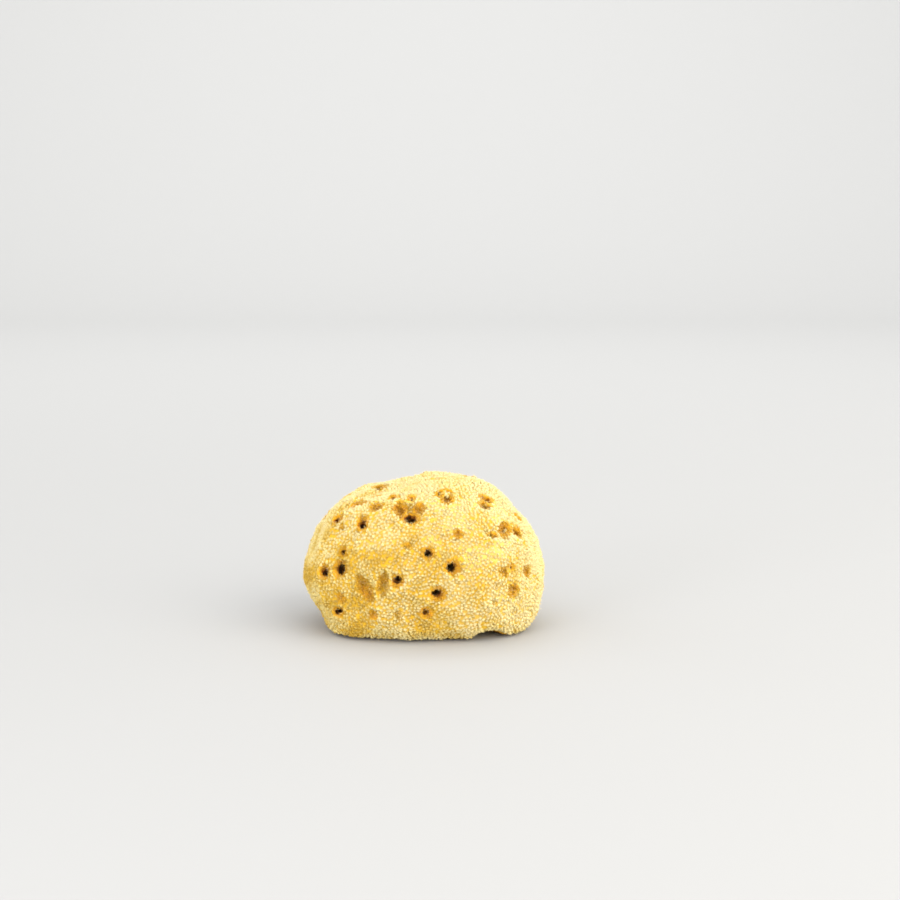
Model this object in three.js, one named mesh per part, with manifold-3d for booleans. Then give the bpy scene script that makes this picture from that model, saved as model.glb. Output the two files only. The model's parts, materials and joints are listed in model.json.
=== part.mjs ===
// Sea sponge: a fine silky bath sponge, bleached and dried, that grew as one piece.
// Its mound has lobes and folds, its canals open in round pits, and it was cut off flat at the base.
// Units are millimetres with +Z up. X runs left to right across the front and Y from front to back.
// The origin is the middle of the flat base. Lengths called "across" and "up" are read on a picture
// plane that stands at the origin and squarely faces an eye in front of the sponge.
import * as THREE from "three";
import { ImprovedNoise } from "three/addons/math/ImprovedNoise.js";
import { mergeVertices } from "three/addons/utils/BufferGeometryUtils.js";
import Module from "manifold-3d";

// Where the eye is, and how far down it looks
const EYE = new THREE.Vector3(13.5, -877, 222.3);
const EYE_PITCH = THREE.MathUtils.degToRad(8.4);

// Driving dimensions of the mound
const FRONT_REACH = 51; // from the middle plane to the foremost tips
const BACK_REACH = 50; // from the middle plane to the rearmost tips
const FULLNESS = 2.3; // superellipse power: 2 is an ellipse, more is squarer
const MIDDLE = new THREE.Vector3(0, 0, 34); // where every radius of the mound starts
const BODY_DETAIL = 9; // rows of facets on each of the twenty sides of the starting ball

// The mound's outline from the front, as [x, z]: right side, over the top, left side, under the floor
const OUTLINE = [
  [63.9, 23],
  [61.9, 40],
  [53.9, 56.5],
  [37.9, 72.5],
  [13.4, 80.2],
  [-13.6, 77.2],
  [-37.6, 70.5],
  [-55.1, 55],
  [-62.6, 42],
  [-65.1, 29],
  [-61.6, 17],
  [-56.6, 7],
  [-45.6, -7],
  [-1.6, -12],
  [44.4, -9],
  [60.9, 5],
];

// Broad swells and hollows of the whole mound: [direction, height, spread in degrees]
const SWELLS = [
  [[0.25, 1, -0.1], 3.5, 26],
  [[-0.85, 0.75, -0.1], 5, 22],
  [[0.95, 0.7, 0], 2.6, 24],
  [[-0.25, 1, -0.2], -4, 16],
  [[0.65, 0.85, 0.5], -2.5, 15],
  [[0.35, 0.55, 0.8], 2.5, 20],
  [[-0.5, 0.75, 0.5], 3, 16],
  [[-0.15, 0.75, 0.65], -3, 14],
  [[0.62, -0.9, -0.1], 1.5, 24],
];

// Folds on the front: [across, up, half width, half height, turn in degrees, height]
const FOLDS = [
  [-45, 60, 10, 4, 34, 1.8], // the brow at the top left
  [-32, 69, 10, 3.2, 24, -2.0], // the trough behind it
  [37, 50, 11, 3, 14, -1.8], // the fold at the right
  [38, 57, 11, 5, 12, 1.4],
  [-33, 19, 7, 11, 20, -1.8], // the wrinkled hollow at the lower left
  [-47, 43, 9, 9, 0, -1.0],
  [-40, 7, 9, 5, -20, -1.2],
  [6, 34, 16, 10, 0, 0.9],
  [40, 18, 12, 9, 0, 0.8],
  [-8, 61, 13, 7, 0, 0.9],
];

// Small unevenness all over, as [height, wavelength]
const RIPPLES = [
  [1.5, 27],
  [0.8, 13],
];

// Pits that show from the front: [across, up, width, height, turn in degrees, depth, lean].
// A lean of [x, z] tips the far end of the pit to the right and up, as a share of its length.
const FRONT_PITS = [
  // Three deep open canals in the middle, and two lesser ones beside them
  [-14.6, 21.8, 5.4, 4.4, 0, 22, [0, 0.1]],
  [15.4, 29.6, 6.0, 5.8, 0, 20, [-0.3, -0.2]],
  [7.4, 15.6, 6.0, 4.8, 0, 20, [-0.3, -0.15]],
  [2.6, 37.6, 4.8, 4.6, 0, 14, [-0.3, -0.2]],
  [-8.5, 41.4, 3.6, 3.0, 0, 6, [0, -0.2]],
  // The left lobe
  [-46.2, 5.6, 5.4, 4.0, 8, 14, [-0.2, -0.1]],
  [-53.6, 27.7, 5.2, 5.4, 0, 12, [0.1, -0.2]],
  [-44.9, 28.8, 5.4, 8.0, -8, 14, [0.1, -0.2]],
  [-43.6, 38.2, 3.4, 4.2, 0, 10, [0.1, -0.1]],
  [-38.0, 26.5, 2.6, 2.6, 0, 6, [0.1, 0]],
  [-44.3, 13.3, 3.0, 6.0, 6, 4, [0.1, 0]],
  // The pale nose at the lower left stands between two furrows, with small pits in the left one
  [-31.4, 18.0, 5.0, 16, 28, 4.6, [0, 0]],
  [-22.3, 19.4, 4.6, 16, -10, 4.2, [0, 0]],
  [-33.6, 18.4, 2.6, 3.0, 0, 8, [0, 0]],
  [-30.4, 14.0, 2.4, 3.0, 0, 7, [0, 0]],
  // The brow at the top left and the troughs behind it
  [-33.3, 54.0, 5.2, 6.2, 0, 11, [0, -0.6]],
  [-46.8, 56.4, 6.2, 3.6, 20, 9, [0, -0.6]],
  [-35.8, 65.2, 12, 3.8, 16, 6, [0, -0.9]],
  [-22.6, 72.4, 8, 3.6, 24, 6, [0, -0.9]],
  [-25.4, 63.2, 7.0, 5.6, 0, 6, [0, -0.7]],
  [-44.3, 51.6, 3.2, 2.8, 0, 4, [0, -0.3]],
  // The big crater: a bowl with a deep cavity low in it, a lobe at each side and two pits above
  [-8.8, 61.0, 14.5, 9.5, 0, 6, [0, -0.4]],
  [-7.4, 57.2, 8.6, 6.6, 0, 18, [0, -0.5]],
  [-13.6, 63.0, 6.0, 6.4, 0, 9, [0.1, -0.5]],
  [-3.0, 62.2, 5.6, 5.6, 0, 8, [-0.1, -0.5]],
  [-16.4, 68.4, 4.0, 4.4, 0, 7, [0, -0.6]],
  [-6.7, 67.8, 3.4, 3.8, 0, 6, [0, -0.6]],
  // The top and the upper right
  [8.0, 70.2, 4.2, 3.6, -30, 8, [0.1, -0.6]],
  [12.4, 71.4, 3.4, 4.4, 0, 6, [0, -0.6]],
  [12.3, 67.6, 6.0, 5.4, 0, 7, [0, -0.6]],
  [33.4, 67.0, 6.6, 5.6, 0, 7, [-0.1, -0.5]],
  [32.5, 63.8, 6.0, 5.2, 0, 7, [0, -0.4]],
  [12.9, 79.0, 3.4, 2.4, 0, 4, [0, -0.8]],
  [17.6, 78.2, 6.0, 2.4, -6, 3.5, [0, -0.8]],
  [18.3, 47.4, 3.4, 4.0, 0, 5, [0, -0.2]],
  // The fold at the right
  [43.8, 50.6, 6.8, 5.4, 10, 6, [-0.3, -0.3]],
  [37.6, 47.0, 7.0, 2.8, 32, 4, [-0.2, -0.2]],
  [49.6, 48.6, 5.4, 5.2, 0, 6, [-0.3, -0.2]],
  // The right lobe
  [43.2, 27.4, 5.4, 4.8, 20, 5, [-0.2, 0]],
  [46.9, 29.6, 3.8, 3.8, 0, 7, [-0.2, -0.1]],
  [55.2, 27.9, 5.6, 4.8, 0, 4.5, [-0.4, 0]],
  [48.3, 17.1, 5.8, 6.0, 0, 5.5, [-0.2, 0]],
  [38.2, 10.6, 4.4, 3.2, 30, 3, [0, 0]],
  // Low on the front
  [1.2, 5.4, 4.8, 4.8, 0, 9, [-0.3, -0.1]],
  [-14.1, 4.0, 2.6, 5.0, 24, 4, [0, 0]],
  [-27.5, 3.8, 3.6, 4.4, 0, 4, [0, 0]],
];

// Pits on the top, the sides and the back lie on a spiral that winds down from the top
const SPIRAL_PITS = 104;
const SPIRAL_DOWN = 1.55; // how far down the spiral goes, where 2 is all the way
const SPIRAL_PIT_WIDTH = [2.8, 7.2];
const SPIRAL_PIT_DEPTH = [3, 18];
const SPIRAL_PIT_OVAL = [0.7, 1.2]; // a pit's height as a share of its width
const SPIRAL_PIT_SINK = 0.3; // how far a pit may lean downwards, as a share of its length
const SPIRAL_JITTER = 0.5; // how far a pit strays along the spiral, in radians
const SMALL_BIAS = 1.6; // above 1 there are more small pits than large ones
const FRONT_FACING = 0.15; // the spiral leaves out skin that faces the eye by more than this cosine
const ABOVE_FLOOR = 1.5; // how many widths above the floor a pit stays
const GOLDEN_ANGLE = Math.PI * (3 - Math.sqrt(5));

// Canals cut across at the base: [x, y, diameter, depth]
const BASE_CANALS = [
  [-24, -11, 6, 12],
  [-30, 16, 4.4, 9],
  [-8, 25, 5.4, 14],
  [14, -18, 4.2, 8],
  [24, 12, 6.4, 13],
  [34, -4, 3.6, 7],
  [4, 37, 3.8, 8],
  [-12, -24, 3.4, 7],
  [36, 24, 4.4, 8],
];

// The arch under the right of the front edge
const ARCH = { at: [34.6, -42, 0], radii: [9.6, 20, 5] };

// A pit's section from its end to its mouth, as shares of its half width and of its depth
const PIT_SECTION = [
  [0.6, 0.9],
  [1, 0.12],
];
const MOUTH_ABOVE = 4; // how far the cut starts above the skin
const MOUTH_FLARE = 1.9; // its half width there, as a share of the pit's
const LARGE_PIT = 3.6; // pits at least this wide get more sides
const SIDES_LARGE = 9;
const SIDES_SMALL = 6;
const BASE_BLOCK = 200; // the block below the base that cuts it flat

const noise = new ImprovedNoise();

// Seeded random numbers from 0 to 1, so that the sponge grows the same way each time
function seeded(seed) {
  let state = seed;
  return () => {
    state = (state * 1664525 + 1013904223) % 4294967296;
    return state / 4294967296;
  };
}

// The outline's radius about the middle for each angle in the X-Z plane
const OUTLINE_STEPS = 360;
function outlineRadii() {
  const points = OUTLINE.map(([x, z]) => new THREE.Vector3(x - MIDDLE.x, 0, z - MIDDLE.z));
  const curve = new THREE.CatmullRomCurve3(points, true, "centripetal");
  return curve
    .getPoints(OUTLINE_STEPS)
    .map((p) => ({ angle: Math.atan2(p.z, p.x), radius: Math.hypot(p.x, p.z) }))
    .sort((a, b) => a.angle - b.angle);
}
const RADII = outlineRadii();

function outlineRadius(angle) {
  const next = RADII.findIndex((r) => r.angle >= angle);
  if (next <= 0) return RADII[0].radius;
  const [a, b] = [RADII[next - 1], RADII[next]];
  const share = (angle - a.angle) / Math.max(b.angle - a.angle, 1e-9);
  return THREE.MathUtils.lerp(a.radius, b.radius, share);
}

// The picture plane: its axes, the eye's height along them, and where a point falls on it
const VIEW = new THREE.Vector3(0, Math.cos(EYE_PITCH), -Math.sin(EYE_PITCH));
const PICTURE_UP = new THREE.Vector3(0, Math.sin(EYE_PITCH), Math.cos(EYE_PITCH));
const EYE_DISTANCE = -EYE.dot(VIEW);
function onPicture(point) {
  const sight = point.clone().sub(EYE);
  sight.multiplyScalar(EYE_DISTANCE / sight.dot(VIEW)).add(EYE);
  return { across: sight.x, up: sight.dot(PICTURE_UP) };
}

function swell(direction) {
  let height = 0;
  for (const [towards, rise, spread] of SWELLS) {
    const angle = direction.angleTo(new THREE.Vector3(...towards));
    const share = angle / THREE.MathUtils.degToRad(spread);
    height += rise * Math.exp(-share * share);
  }
  return height;
}

function fold(point, direction) {
  const facing = THREE.MathUtils.smoothstep(-direction.y, -0.1, 0.25);
  if (facing === 0) return 0;
  const seen = onPicture(point);
  let height = 0;
  for (const [across, up, halfWidth, halfHeight, turn, rise] of FOLDS) {
    const angle = THREE.MathUtils.degToRad(turn);
    const dx = seen.across - across;
    const dy = seen.up - up;
    const alongX = (dx * Math.cos(angle) + dy * Math.sin(angle)) / halfWidth;
    const alongY = (dy * Math.cos(angle) - dx * Math.sin(angle)) / halfHeight;
    height += rise * Math.exp(-(alongX * alongX + alongY * alongY) / 2);
  }
  return height * facing;
}

function ripple(point) {
  return RIPPLES.reduce((sum, [height, wave]) => {
    const { x, y, z } = point.clone().divideScalar(wave);
    return sum + 2 * height * noise.noise(x + 3.1, y + 7.7, z + 1.3);
  }, 0);
}

// The mound's radius in a direction from its middle
function moundRadius(direction) {
  const flat = Math.hypot(direction.x, direction.z);
  const reach = direction.y < 0 ? FRONT_REACH : BACK_REACH;
  const side = flat / outlineRadius(Math.atan2(direction.z, direction.x));
  const deep = Math.abs(direction.y) / reach;
  const plain = (side ** FULLNESS + deep ** FULLNESS) ** (-1 / FULLNESS);
  const point = direction.clone().multiplyScalar(plain).add(MIDDLE);
  return plain + swell(direction) + fold(point, direction) + ripple(point);
}

const skinPoint = (direction) => direction.clone().multiplyScalar(moundRadius(direction)).add(MIDDLE);

// The skin's outward direction, from two nearby points
function skinNormal(direction) {
  const step = 0.06;
  const sideways = new THREE.Vector3(direction.y, -direction.x, 0.01).normalize();
  const upwards = new THREE.Vector3().crossVectors(sideways, direction).normalize();
  const at = (a, b) =>
    skinPoint(direction.clone().addScaledVector(sideways, a).addScaledVector(upwards, b).normalize());
  const u = at(step, 0).sub(at(-step, 0));
  const v = at(0, step).sub(at(0, -step));
  const normal = u.cross(v).normalize();
  return normal.dot(direction) < 0 ? normal.negate() : normal;
}

// The direction of the first skin point that the eye meets behind a place on the picture plane
function seenDirection(across, up) {
  const place = new THREE.Vector3(across, 0, 0).addScaledVector(PICTURE_UP, up);
  const sight = place.clone().sub(EYE).normalize();
  const reach = 90;
  const step = 0.5;
  for (let along = -reach; along < reach; along += step) {
    const ray = place.clone().addScaledVector(sight, along).sub(MIDDLE);
    const direction = ray.clone().normalize();
    if (ray.length() < moundRadius(direction)) return direction;
  }
  throw new Error("no skin behind " + across + ", " + up);
}

// A closed geometry as a solid that can be joined and cut
const wasm = await Module();
wasm.setup();
function solidOf(geometry) {
  const bare = geometry.clone();
  bare.deleteAttribute("normal");
  bare.deleteAttribute("uv");
  const merged = mergeVertices(bare, 1e-4);
  return new wasm.Manifold(
    new wasm.Mesh({
      numProp: 3,
      vertProperties: merged.attributes.position.array,
      triVerts: new Uint32Array(merged.index.array),
    }),
  );
}

// The mound before anything is cut from it
function moundSolid() {
  const ball = new THREE.IcosahedronGeometry(1, BODY_DETAIL);
  const places = ball.attributes.position;
  const direction = new THREE.Vector3();
  for (let i = 0; i < places.count; i += 1) {
    direction.fromBufferAttribute(places, i).normalize();
    places.setXYZ(i, ...skinPoint(direction).toArray());
  }
  return solidOf(ball);
}

// A pit's cutter: a tapering round tool with a flared mouth, its axis along Z before it is placed
function pitSolid(at, inwards, pictureUp, width, height, turn, depth) {
  const half = width / 2;
  const profile = [new THREE.Vector2(0, -depth)];
  for (const [wide, deep] of PIT_SECTION) {
    profile.push(new THREE.Vector2(wide * half, -deep * depth));
  }
  profile.push(new THREE.Vector2(MOUTH_FLARE * half, MOUTH_ABOVE));
  profile.push(new THREE.Vector2(0, MOUTH_ABOVE));
  const sides = Math.max(width, height) >= LARGE_PIT ? SIDES_LARGE : SIDES_SMALL;
  const tool = new THREE.LatheGeometry(profile, sides);
  tool.rotateX(Math.PI / 2); // the lathe turns about Y, so its axis goes to Z
  tool.scale(1, height / width, 1);
  tool.rotateZ(THREE.MathUtils.degToRad(turn));
  const axis = inwards.clone().negate();
  const right = new THREE.Vector3().crossVectors(pictureUp, axis).normalize();
  const up = new THREE.Vector3().crossVectors(axis, right);
  tool.applyMatrix4(new THREE.Matrix4().makeBasis(right, up, axis).setPosition(at));
  return solidOf(tool);
}

function frontPits() {
  return FRONT_PITS.map(([across, up, width, height, turn, depth, [leanX, leanZ]]) => {
    const direction = seenDirection(across, up);
    const inwards = skinNormal(direction).negate().add(VIEW);
    inwards.add(new THREE.Vector3(leanX, 0, leanZ)).normalize();
    return pitSolid(skinPoint(direction), inwards, PICTURE_UP, width, height, turn, depth);
  });
}

function spiralPits() {
  const random = seeded(7);
  const pits = [];
  for (let i = 0; i < SPIRAL_PITS; i += 1) {
    const level = 1 - (SPIRAL_DOWN * (i + 0.5)) / SPIRAL_PITS;
    const round = Math.sqrt(1 - level * level);
    const angle = i * GOLDEN_ANGLE + (random() - 0.5) * SPIRAL_JITTER;
    const direction = new THREE.Vector3(round * Math.cos(angle), round * Math.sin(angle), level);
    const size = random() ** SMALL_BIAS;
    const width = THREE.MathUtils.lerp(...SPIRAL_PIT_WIDTH, size);
    const height = width * THREE.MathUtils.lerp(...SPIRAL_PIT_OVAL, random());
    const depth = THREE.MathUtils.lerp(...SPIRAL_PIT_DEPTH, 0.7 * random() + 0.3 * size);
    const turn = 180 * random();
    const lean = new THREE.Vector3(random() - 0.5, random() - 0.5, -SPIRAL_PIT_SINK * random());
    const at = skinPoint(direction);
    const outwards = skinNormal(direction);
    const onFront = -outwards.dot(VIEW) > FRONT_FACING;
    if (onFront || at.z < ABOVE_FLOOR * width) continue;
    const inwards = lean.sub(outwards).normalize();
    pits.push(pitSolid(at, inwards, PICTURE_UP, width, height, turn, depth));
  }
  return pits;
}

function baseCanals() {
  const upwards = new THREE.Vector3(0, 0, 1);
  const back = new THREE.Vector3(0, 1, 0);
  return BASE_CANALS.map(([x, y, diameter, depth]) =>
    pitSolid(new THREE.Vector3(x, y, 0), upwards, back, diameter, diameter, 0, depth),
  );
}

function archSolid() {
  const arch = new THREE.SphereGeometry(1, 20, 12);
  arch.scale(...ARCH.radii);
  arch.translate(...ARCH.at);
  return solidOf(arch);
}

function blockBelowBase() {
  const block = new THREE.BoxGeometry(BASE_BLOCK, BASE_BLOCK, BASE_BLOCK);
  block.translate(0, 0, -BASE_BLOCK / 2);
  return solidOf(block);
}

function spongeGeometry() {
  const cuts = [...frontPits(), ...spiralPits(), ...baseCanals(), archSolid(), blockBelowBase()];
  const solid = cuts.reduce((sponge, cut) => sponge.subtract(cut), moundSolid());
  const mesh = solid.getMesh();
  const geometry = new THREE.BufferGeometry();
  geometry.setAttribute("position", new THREE.BufferAttribute(new Float32Array(mesh.vertProperties), 3));
  geometry.setIndex(new THREE.BufferAttribute(new Uint32Array(mesh.triVerts), 1));
  geometry.computeBoundingBox();
  const box = geometry.boundingBox;
  geometry.translate(-(box.min.x + box.max.x) / 2, -(box.min.y + box.max.y) / 2, -box.min.z);
  geometry.computeVertexNormals();
  return geometry;
}

const spongin = new THREE.MeshStandardMaterial({ color: "#f2d583", roughness: 0.95, metalness: 0 });
const sponge = new THREE.Mesh(spongeGeometry(), spongin);
sponge.name = "sponge";

const seaSponge = new THREE.Group();
seaSponge.add(sponge);

export default seaSponge;
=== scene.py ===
"""A bleached bath sponge dressed for a studio picture.

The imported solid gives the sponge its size, lobes and canals. This script grows the finish over it:
a porous ground, thousands of pointed tufts whose tips reach the solid's skin, and loose fibres
round the mouths of the canals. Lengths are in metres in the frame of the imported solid.
"""

import json
import math
import random

import bmesh
import bpy
from bpy.props import FloatProperty, FloatVectorProperty, IntProperty, PointerProperty
from mathutils import Matrix, Vector

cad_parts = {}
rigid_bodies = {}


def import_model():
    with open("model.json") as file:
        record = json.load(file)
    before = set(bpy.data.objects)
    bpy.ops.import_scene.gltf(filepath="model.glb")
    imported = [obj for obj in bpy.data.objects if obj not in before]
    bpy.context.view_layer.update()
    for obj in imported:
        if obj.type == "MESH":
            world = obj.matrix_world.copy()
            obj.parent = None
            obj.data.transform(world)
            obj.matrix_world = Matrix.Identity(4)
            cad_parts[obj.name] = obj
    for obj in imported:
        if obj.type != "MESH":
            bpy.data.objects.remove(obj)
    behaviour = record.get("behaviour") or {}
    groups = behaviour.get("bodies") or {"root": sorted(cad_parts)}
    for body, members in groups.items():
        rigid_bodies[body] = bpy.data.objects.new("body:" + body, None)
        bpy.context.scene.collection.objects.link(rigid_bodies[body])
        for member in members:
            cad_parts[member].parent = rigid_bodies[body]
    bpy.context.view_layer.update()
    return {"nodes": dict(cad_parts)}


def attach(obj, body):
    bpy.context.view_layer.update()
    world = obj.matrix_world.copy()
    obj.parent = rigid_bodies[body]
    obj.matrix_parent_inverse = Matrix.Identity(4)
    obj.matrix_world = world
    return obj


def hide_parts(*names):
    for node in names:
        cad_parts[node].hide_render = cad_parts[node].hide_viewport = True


bl_info = {
    "name": "Bath sponge",
    "version": (1, 0, 0),
    "blender": (4, 5, 0),
    "location": "3D View > Sidebar > Sponge",
    "description": "Grows the tufts and fibres of a bath sponge over its solid and lights it",
    "category": "Add Mesh",
}

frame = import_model()
SOLID = frame["nodes"]["sponge"]
BODY = "root"
MM = 0.001


def linear(code):
    """An sRGB hex colour as linear red, green and blue."""
    shares = [int(code[i : i + 2], 16) / 255 for i in (1, 3, 5)]
    return [s / 12.92 if s <= 0.04045 else ((s + 0.055) / 1.055) ** 2.4 for s in shares]


def length(name, description, millimetres):
    """A length that a user would change, given in millimetres and kept in metres."""
    return FloatProperty(
        name=name,
        description=description,
        default=millimetres * MM,
        min=0,
        precision=5,
        subtype="DISTANCE",
        unit="LENGTH",
    )


def colour(name, description, code):
    """A colour that a user would change, given as sRGB hex."""
    return FloatVectorProperty(
        name=name, description=description, default=linear(code), min=0, max=1, size=3, subtype="COLOR"
    )


def power(name, description, watts):
    """The power of a lamp."""
    return FloatProperty(name=name, description=description, default=watts, min=0, unit="POWER")


def count(name, description, default, least=1):
    """A number of pieces or parts."""
    return IntProperty(name=name, description=description, default=default, min=least)


class SpongeSizes(bpy.types.PropertyGroup):
    """Sizes of what grows over the solid."""

    voxel: length("Ground grain", "Edge length of the ground's mesh", 0.88)
    tuft_height: length("Tuft height", "From the ground to a tuft's tip", 1.75)
    tuft_spacing: length("Tuft spacing", "Least distance between two tufts", 1.46)
    tuft_foot: length("Tuft foot", "From a tuft's middle to where it meets the ground", 1.4)
    fibre_width: length("Fibre width", "Width of a fibre at its root", 0.17)
    mouth_fibre: length("Mouth fibre", "Length of the fibres round a canal's mouth", 3.6)
    mouth_spacing: length("Mouth fibre spacing", "Least distance between those fibres", 0.9)
    sectors: count("Sectors", "Pieces that the tufts are split into", 6)
    ridges: count("Ridges", "Ridges that run down a tuft's sides", 7, least=3)
    fibres: count("Fibres", "Fibres that stand up from a tuft", 7, least=0)
    kinds: count("Kinds", "Different tufts to choose from", 9)


class SpongeColours(bpy.types.PropertyGroup):
    """Colours of bleached spongin, from the outermost tips to the bottom of the canals. The mouth, throat
    and depth colours are partly painted shade, and the depth colour is also a painted shadow where the
    sponge meets the floor.
    """

    tip: colour("Tip", "Bleached tips of the tufts", "#fff1ba")
    flank: colour("Flank", "Sides of the tufts", "#fbe896")
    valley: colour("Valley", "Ground between the tufts", "#e2b836")
    mouth: colour("Mouth", "Just inside a canal", "#eab22c")
    throat: colour("Throat", "Further down a canal", "#aa5c12")
    depth: colour("Depth", "The bottom of a canal", "#3a1404")
    stage: colour("Stage", "Floor and backdrop", "#b8b8b7")


class SpongeLight(bpy.types.PropertyGroup):
    """The studio's soft light."""

    sky: FloatProperty(
        name="Sky", description="Strength of the even light from all round", default=1.34, min=0
    )
    wash: power("Wash", "Power of the light on the backdrop", 44)
    key: power("Key", "Power of the broad light at the upper right", 27)
    fill: power("Fill", "Power of the light at the left", 5.8)


def add_node(tree, kind, settings=None, inputs=None):
    """Adds a node, makes its settings, and gives each named input a value or a link."""
    node = tree.nodes.new(kind)
    for name, value in (settings or {}).items():
        setattr(node, name, value)
    for name, value in (inputs or {}).items():
        socket = node.inputs[name]
        if isinstance(value, bpy.types.NodeSocket):
            tree.links.new(value, socket)
        else:
            socket.default_value = value
    return node


def new_geometry_tree(name):
    """A geometry node tree with one geometry going in and one coming out."""
    tree = bpy.data.node_groups.new(name, "GeometryNodeTree")
    tree.interface.new_socket("Geometry", in_out="INPUT", socket_type="NodeSocketGeometry")
    tree.interface.new_socket("Geometry", in_out="OUTPUT", socket_type="NodeSocketGeometry")
    return tree


ADD, SUBTRACT, MULTIPLY, MULTIPLY_ADD, SCALE, DOT_PRODUCT, MAXIMUM = (
    {"operation": name}
    for name in ("ADD", "SUBTRACT", "MULTIPLY", "MULTIPLY_ADD", "SCALE", "DOT_PRODUCT", "MAXIMUM")
)
SMOOTH = {"interpolation_type": "SMOOTHSTEP"}  # a map range that starts and ends gently
OF_NUMBERS = {"data_type": "FLOAT"}
OF_VECTORS = {"data_type": "FLOAT_VECTOR"}
NOISE_LOW, NOISE_HIGH = 0.3, 0.7  # nearly all of a noise's values lie between these
NOISE_MIDDLE = (0.5, 0.5, 0.5)
FLAT = (1, 1, 0)  # what leaves only the level part of a vector


def uneven(tree, size, detail, least, most, place=None):
    """A number that wanders between two others, over patches of one size."""
    inputs = {"Scale": 1 / size, "Detail": detail}
    if place is not None:
        inputs["Vector"] = place
    noise = add_node(tree, "ShaderNodeTexNoise", inputs=inputs)
    return add_node(
        tree,
        "ShaderNodeMapRange",
        inputs={
            "Value": noise.outputs["Fac"],
            "From Min": NOISE_LOW,
            "From Max": NOISE_HIGH,
            "To Min": least,
            "To Max": most,
        },
    ).outputs[0]


def drift(tree, size, detail):
    """A shift that wanders over patches of one size, by half a length to each side at most."""
    noise = add_node(tree, "ShaderNodeTexNoise", inputs={"Scale": 1 / size, "Detail": detail})
    return add_node(
        tree, "ShaderNodeVectorMath", SUBTRACT, {0: noise.outputs["Color"], 1: NOISE_MIDDLE}
    ).outputs[0]


def new_object(name, mesh):
    """An object in the scene for a mesh."""
    piece = bpy.data.objects.new(name, mesh)
    bpy.context.scene.collection.objects.link(piece)
    return piece


def finished_mesh(name, bm):
    """The mesh that a bmesh holds, which is freed."""
    mesh = bpy.data.meshes.new(name)
    bm.to_mesh(mesh)
    bm.free()
    return mesh


def apply_modifiers(piece):
    """Makes the shape that a piece's modifiers give its own mesh."""
    graph = bpy.context.evaluated_depsgraph_get()
    shaped = bpy.data.meshes.new_from_object(piece.evaluated_get(graph), depsgraph=graph)
    piece.modifiers.clear()
    rough = piece.data
    piece.data = shaped
    shaped.name = piece.name
    bpy.data.meshes.remove(rough)


def join_frame(piece):
    """Declares a finished piece to the frame."""
    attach(piece, BODY)


ROUNDING = 4  # how often the ground is smoothed over the solid's facets
RAYS = 20  # how many ways each point looks to find how open it lies
LOOK = 22 * MM  # how far it looks
LIFT = 0.4 * MM  # how far off the ground it looks from
OPEN_BLUR = 3  # how often openness is blurred
HOLLOW_BLUR = 24  # how often positions are blurred to find where the skin is hollow
HOLLOW = 0.16 / MM  # how much of its openness a point loses for each length that it lies hollow
SHELTERED = 0.3  # a hollow takes a point's openness no lower than this
OPEN_SKIN = 0.6  # a point that is open by this share lies on the outer skin
IN_A_MOUTH = 0.15  # and by this share it is inside a canal's mouth
LUMPS = [(9 * MM, 0.5 * MM), (4 * MM, 0.35 * MM)]  # unevenness, as size and depth
CREASES = [  # where a lip runs, from its left end to its right end, with a trough behind it
    (Vector((-47, -18, 62.5)) * MM, Vector((-15, 0, 75)) * MM),  # the brow at the top left
    (Vector((32, -41, 52)) * MM, Vector((55, -20, 49.5)) * MM),  # the fold at the right
]
CREASE_LIP = 1.1 * MM
CREASE_TROUGH = 2.2 * MM
CREASE_WIDTH = 2.4 * MM  # from the middle of the lip to where it has all but gone
CREASE_BANK = 1.4 * CREASE_WIDTH  # and to where nothing of it is left
CREASE_BACK = 1.8 * CREASE_WIDTH  # from the middle of the lip to the middle of the trough
CREASE_REACH = 11 * MM  # how far a crease is felt outside the ball that its line crosses
CREASE_WAVE = 14 * MM  # size of a crease's bends, which leave its line by half of this at most
CUT_HEIGHT = (0.4 * MM, 0.1 * MM)  # below the first the ground may be cut, below the second it is
CUT_FACING = (-0.85, -0.98)  # and the same for the upright part of its normal
BASE_PORE = 2.6 * MM  # spacing of the cut pores in the base
BASE_PORE_EDGE = (0.45, 0.2)  # where a pore's wall starts and ends, as shares of the spacing
BASE_PORE_DEPTH = 1.3 * MM  # how far up a pore goes
BASE_RADIUS = 50 * MM  # about how far the base's rim lies from the middle
BASE_DRAW = 1.8  # how far the rim draws in, where 1 is the height of a tuft
RIM_BLUR = 16  # how often the normals are blurred to find the base's rim
RIM_LEAN = (0.05, 0.5)  # level part of the blurred normals where the rim starts and ends
RIM_CURL = 2.6 * MM  # how far the rim curls up from the floor


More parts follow.
